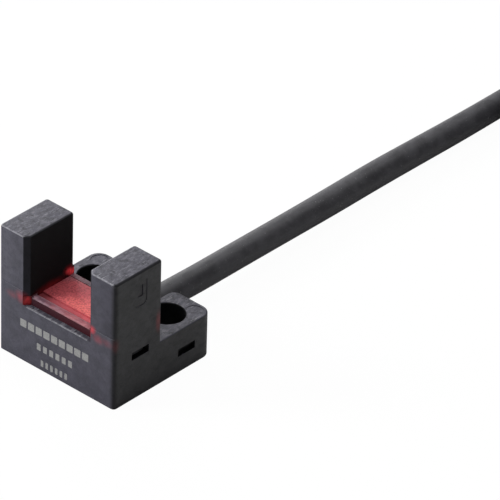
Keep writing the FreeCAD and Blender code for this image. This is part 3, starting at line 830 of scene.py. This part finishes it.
def tieFinish():
    finish = Finish("tie_black", tieSet["colour"], tieSet["roughness"], tieSet["specular"])
    (_, y, _), normal = finish.placeAndNormal()
    ridges = finish.product(finish.most(tieRidges(finish, "X", normal["Z"]),
                                        tieRidges(finish, "Z", normal["X"])),
                            finish.near(y, *tieSet["ridgePlace"]))
    mottle = finish.spread(finish.noise(*tieSet["mottle"]), *tieSet["mottleSpread"])
    colour = finish.blend(mottle, tieSet["colour"], tieSet["light"])
    finish.paint(finish.blend(finish.product(ridges, tieSet["ridgeShare"]), colour,
                              tieSet["ridge"]))
    finish.relief(ridges, *tieSet["ridgeRelief"])
    return finish.material


boardSet = {
    "colour": (0.010, 0.085, 0.040),
    "bare": (0.008, 0.070, 0.034),
    "track": (0.020, 0.130, 0.060),
    "fibre": (0.030, 0.120, 0.070),
    "roughness": 0.35,
    "specular": 0.5,
    "trackScale": 700.0,
    "trackBend": 3.5,
    "trackSpread": (0.62, 0.68),
    "trackRelief": (0.02, 0.8),
    "fibres": (0.12, 4.0, 0.6),
    "fibreSpread": (0.35, 0.7, 0.0, 0.35),
}


def boardFinish():
    finish = Finish("board_green", boardSet["colour"], boardSet["roughness"],
                    boardSet["specular"])
    tracks = finish.node("ShaderNodeTexWave", {"wave_type": "BANDS", "bands_direction": "X"},
                         Scale=boardSet["trackScale"], Distortion=boardSet["trackBend"],
                         Detail=0.0, Vector=finish.place)
    onTrack = finish.spread(tracks.outputs["Fac"], *boardSet["trackSpread"])
    colour = finish.blend(onTrack, boardSet["bare"], boardSet["track"])
    fibres = finish.spread(finish.noise(*boardSet["fibres"]), *boardSet["fibreSpread"])
    finish.paint(finish.blend(fibres, colour, boardSet["fibre"]))
    finish.relief(onTrack, *boardSet["trackRelief"])
    return finish.material


# the rest in two kinds; a mottle is so many times as large as the grain
plasticSet = {
    "mottleTimes": 4,
    "mottle": (5.0, 0.6),
    "mottleSpread": (0.35, 0.68),
    "roughness": (-0.06, 0.08),
    "grain": (4.0, 0.6),
    "grainRelief": (0.006, 0.7),
}
metalSet = {
    "marks": (0.08, 4.0, 0.6),
    "markStretch": (1, 0.2, 1),
    "markSpread": (0.3, 0.7),
    "roughness": (-0.08, 0.10),
    "specular": 0.5,
    "markRelief": (0.004, 0.6),
}


def plasticFinish(name, colour, shade, grain=0.15, roughness=0.45, specular=0.45):
    finish = Finish(name, colour, roughness, specular)
    mottle = finish.noise(plasticSet["mottleTimes"] * grain, *plasticSet["mottle"])
    mottle = finish.spread(mottle, *plasticSet["mottleSpread"])
    finish.paint(finish.blend(mottle, colour, shade))
    finish.polish(finish.spread(mottle, 0.0, 1.0,
                                *(roughness + more for more in plasticSet["roughness"])))
    finish.relief(finish.noise(grain, *plasticSet["grain"]), *plasticSet["grainRelief"])
    return finish.material


def metalFinish(name, colour, shade, roughness):
    finish = Finish(name, colour, roughness, metalSet["specular"], 1.0)
    marks = finish.noise(*metalSet["marks"], finish.stretched(metalSet["markStretch"]))
    marks = finish.spread(marks, *metalSet["markSpread"])
    finish.paint(finish.blend(marks, colour, shade))
    finish.polish(finish.spread(marks, 0.0, 1.0,
                                *(roughness + more for more in metalSet["roughness"])))
    finish.relief(marks, *metalSet["markRelief"])
    return finish.material


blackPlastic = plasticFinish("cover_black", (0.034, 0.034, 0.040), (0.048, 0.048, 0.056))
darkOptic = plasticFinish("optic_dark", (0.014, 0.010, 0.016), (0.022, 0.016, 0.024),
                          grain=0.2, roughness=0.2)
chipPlastic = plasticFinish("chip_black", (0.022, 0.022, 0.024), (0.036, 0.036, 0.038),
                            grain=0.1, roughness=0.6)
resistorGlaze = plasticFinish("resistor_body", (0.030, 0.032, 0.036), (0.050, 0.052, 0.056),
                              grain=0.1)
capacitorCeramic = plasticFinish("capacitor_body", (0.38, 0.27, 0.16), (0.46, 0.34, 0.21),
                                 grain=0.1)
lampResin = plasticFinish("lamp_resin", (0.62, 0.10, 0.08), (0.74, 0.18, 0.14),
                          grain=0.12, roughness=0.3)
tieNylon = tieFinish()
tinned = metalFinish("tinned_metal", (0.60, 0.59, 0.57), (0.44, 0.43, 0.42), 0.32)
solderMetal = metalFinish("solder", (0.66, 0.66, 0.66), (0.52, 0.52, 0.53), 0.28)
coreColours = {
    "brown": ((0.13, 0.045, 0.020), (0.17, 0.062, 0.030)),
    "black": ((0.020, 0.020, 0.021), (0.032, 0.032, 0.034)),
    "white": ((0.66, 0.66, 0.63), (0.56, 0.56, 0.53)),
    "blue": ((0.020, 0.085, 0.32), (0.032, 0.115, 0.38)),
}

finishOfNode = {
    "bottom_cover": blackPlastic,
    "circuit_board": boardFinish(),
    "infrared_emitter": darkOptic,
    "phototransistor": darkOptic,
    "emitter_legs": tinned,
    "phototransistor_legs": tinned,
    "solder_joints": solderMetal,
    "operation_lamp_left": lampResin,
    "operation_lamp_right": lampResin,
    "lamp_resistor_left": resistorGlaze,
    "lamp_resistor_right": resistorGlaze,
    "emitter_resistor": resistorGlaze,
    "supply_capacitor": capacitorCeramic,
    "filter_capacitor": capacitorCeramic,
    "amplifier_chip": chipPlastic,
    "output_transistor_left": chipPlastic,
    "output_transistor_right": chipPlastic,
    "reverse_diode": chipPlastic,
    "coil_tie": tieNylon,
    "bare_tips": tinned,
}
for coreName, (coreColour, coreShade) in coreColours.items():
    coreFinish = plasticFinish(coreName + "_insulation", coreColour, coreShade)
    finishOfNode[coreName + "_core"] = coreFinish
    finishOfNode["free_" + coreName + "_core"] = coreFinish
for nodeName, material in finishOfNode.items():
    dress(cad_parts[nodeName], material)


# Floor and light: a white table under a broad lamp above, one behind and one at the front left

print("floor and light")

lightSet = {
    "ambient": 0.15,
    "floorSize": 3.0,
    "floorSink": 0.02 * mm,
    "floorTone": 0.60,
    "floorShadow": 0.03,
    "shadowTone": 0.9,
    # place, size, brightness on a white surface that faces it
    "above": ((-0.04, 0.10, 0.30), 0.22, 0.54),
    "behind": ((-0.26, 0.14, 0.13), 0.12, 0.42),
    "frontLeft": ((-0.22, -0.22, 0.17), 0.13, 1.08),
}


def makeFloor():
    form = bmesh.new()
    bmesh.ops.create_grid(form, x_segments=1, y_segments=1, size=lightSet["floorSize"] / 2)
    bmesh.ops.translate(form, verts=form.verts, vec=(0, 0, -lightSet["floorSink"]))
    mesh = bpy.data.meshes.new("floor")
    form.to_mesh(mesh)
    form.free()
    floor = addToScene("floor", mesh)
    material = bpy.data.materials.new("white_table")
    material.use_nodes = True
    nodes, links = material.node_tree.nodes, material.node_tree.links
    nodes.clear()
    plain = nodes.new("ShaderNodeBsdfDiffuse")
    plain.inputs["Color"].default_value = (*[lightSet["floorTone"]] * 3, 1)
    shaded = nodes.new("ShaderNodeBsdfDiffuse")
    shaded.inputs["Color"].default_value = (*[lightSet["shadowTone"]] * 3, 1)
    white = nodes.new("ShaderNodeEmission")
    white.inputs["Strength"].default_value = 1.0
    seen = nodes.new("ShaderNodeMixShader")
    seen.inputs["Fac"].default_value = lightSet["floorShadow"]
    links.new(white.outputs[0], seen.inputs[1])
    links.new(shaded.outputs[0], seen.inputs[2])
    path = nodes.new("ShaderNodeLightPath")
    either = nodes.new("ShaderNodeMixShader")
    links.new(path.outputs["Is Camera Ray"], either.inputs["Fac"])
    links.new(plain.outputs[0], either.inputs[1])
    links.new(seen.outputs[0], either.inputs[2])
    links.new(either.outputs[0], nodes.new("ShaderNodeOutputMaterial").inputs["Surface"])
    mesh.materials.append(material)


def makeWorld():
    world = bpy.data.worlds.new("studio")
    world.use_nodes = True
    nodes, links = world.node_tree.nodes, world.node_tree.links
    nodes.clear()
    around = nodes.new("ShaderNodeBackground")
    around.inputs["Strength"].default_value = lightSet["ambient"]
    behind = nodes.new("ShaderNodeBackground")
    behind.inputs["Strength"].default_value = 1.0
    for background in (around, behind):
        background.inputs["Color"].default_value = (1, 1, 1, 1)
    path = nodes.new("ShaderNodeLightPath")
    either = nodes.new("ShaderNodeMixShader")
    links.new(path.outputs["Is Camera Ray"], either.inputs["Fac"])
    links.new(around.outputs[0], either.inputs[1])
    links.new(behind.outputs[0], either.inputs[2])
    links.new(either.outputs[0], nodes.new("ShaderNodeOutputWorld").inputs["Surface"])
    bpy.context.scene.world = world


def makeLamp(name):
    place, size, level = lightSet[name]
    data = bpy.data.lights.new(name, "AREA")
    data.shape = "SQUARE"
    data.size = size
    distance = Vector(place).length
    data.energy = math.pi ** 2 * distance ** 2 * level
    lamp = addToScene(name, data)
    lamp.location = place
    lamp.rotation_mode = "QUATERNION"
    lamp.rotation_quaternion = (-Vector(place)).to_track_quat("-Z", "Y")


makeFloor()
makeWorld()
makeLamp("above")
makeLamp("behind")
makeLamp("frontLeft")

bpy.context.scene.view_settings.view_transform = "Standard"

bpy.context.view_layer.update()
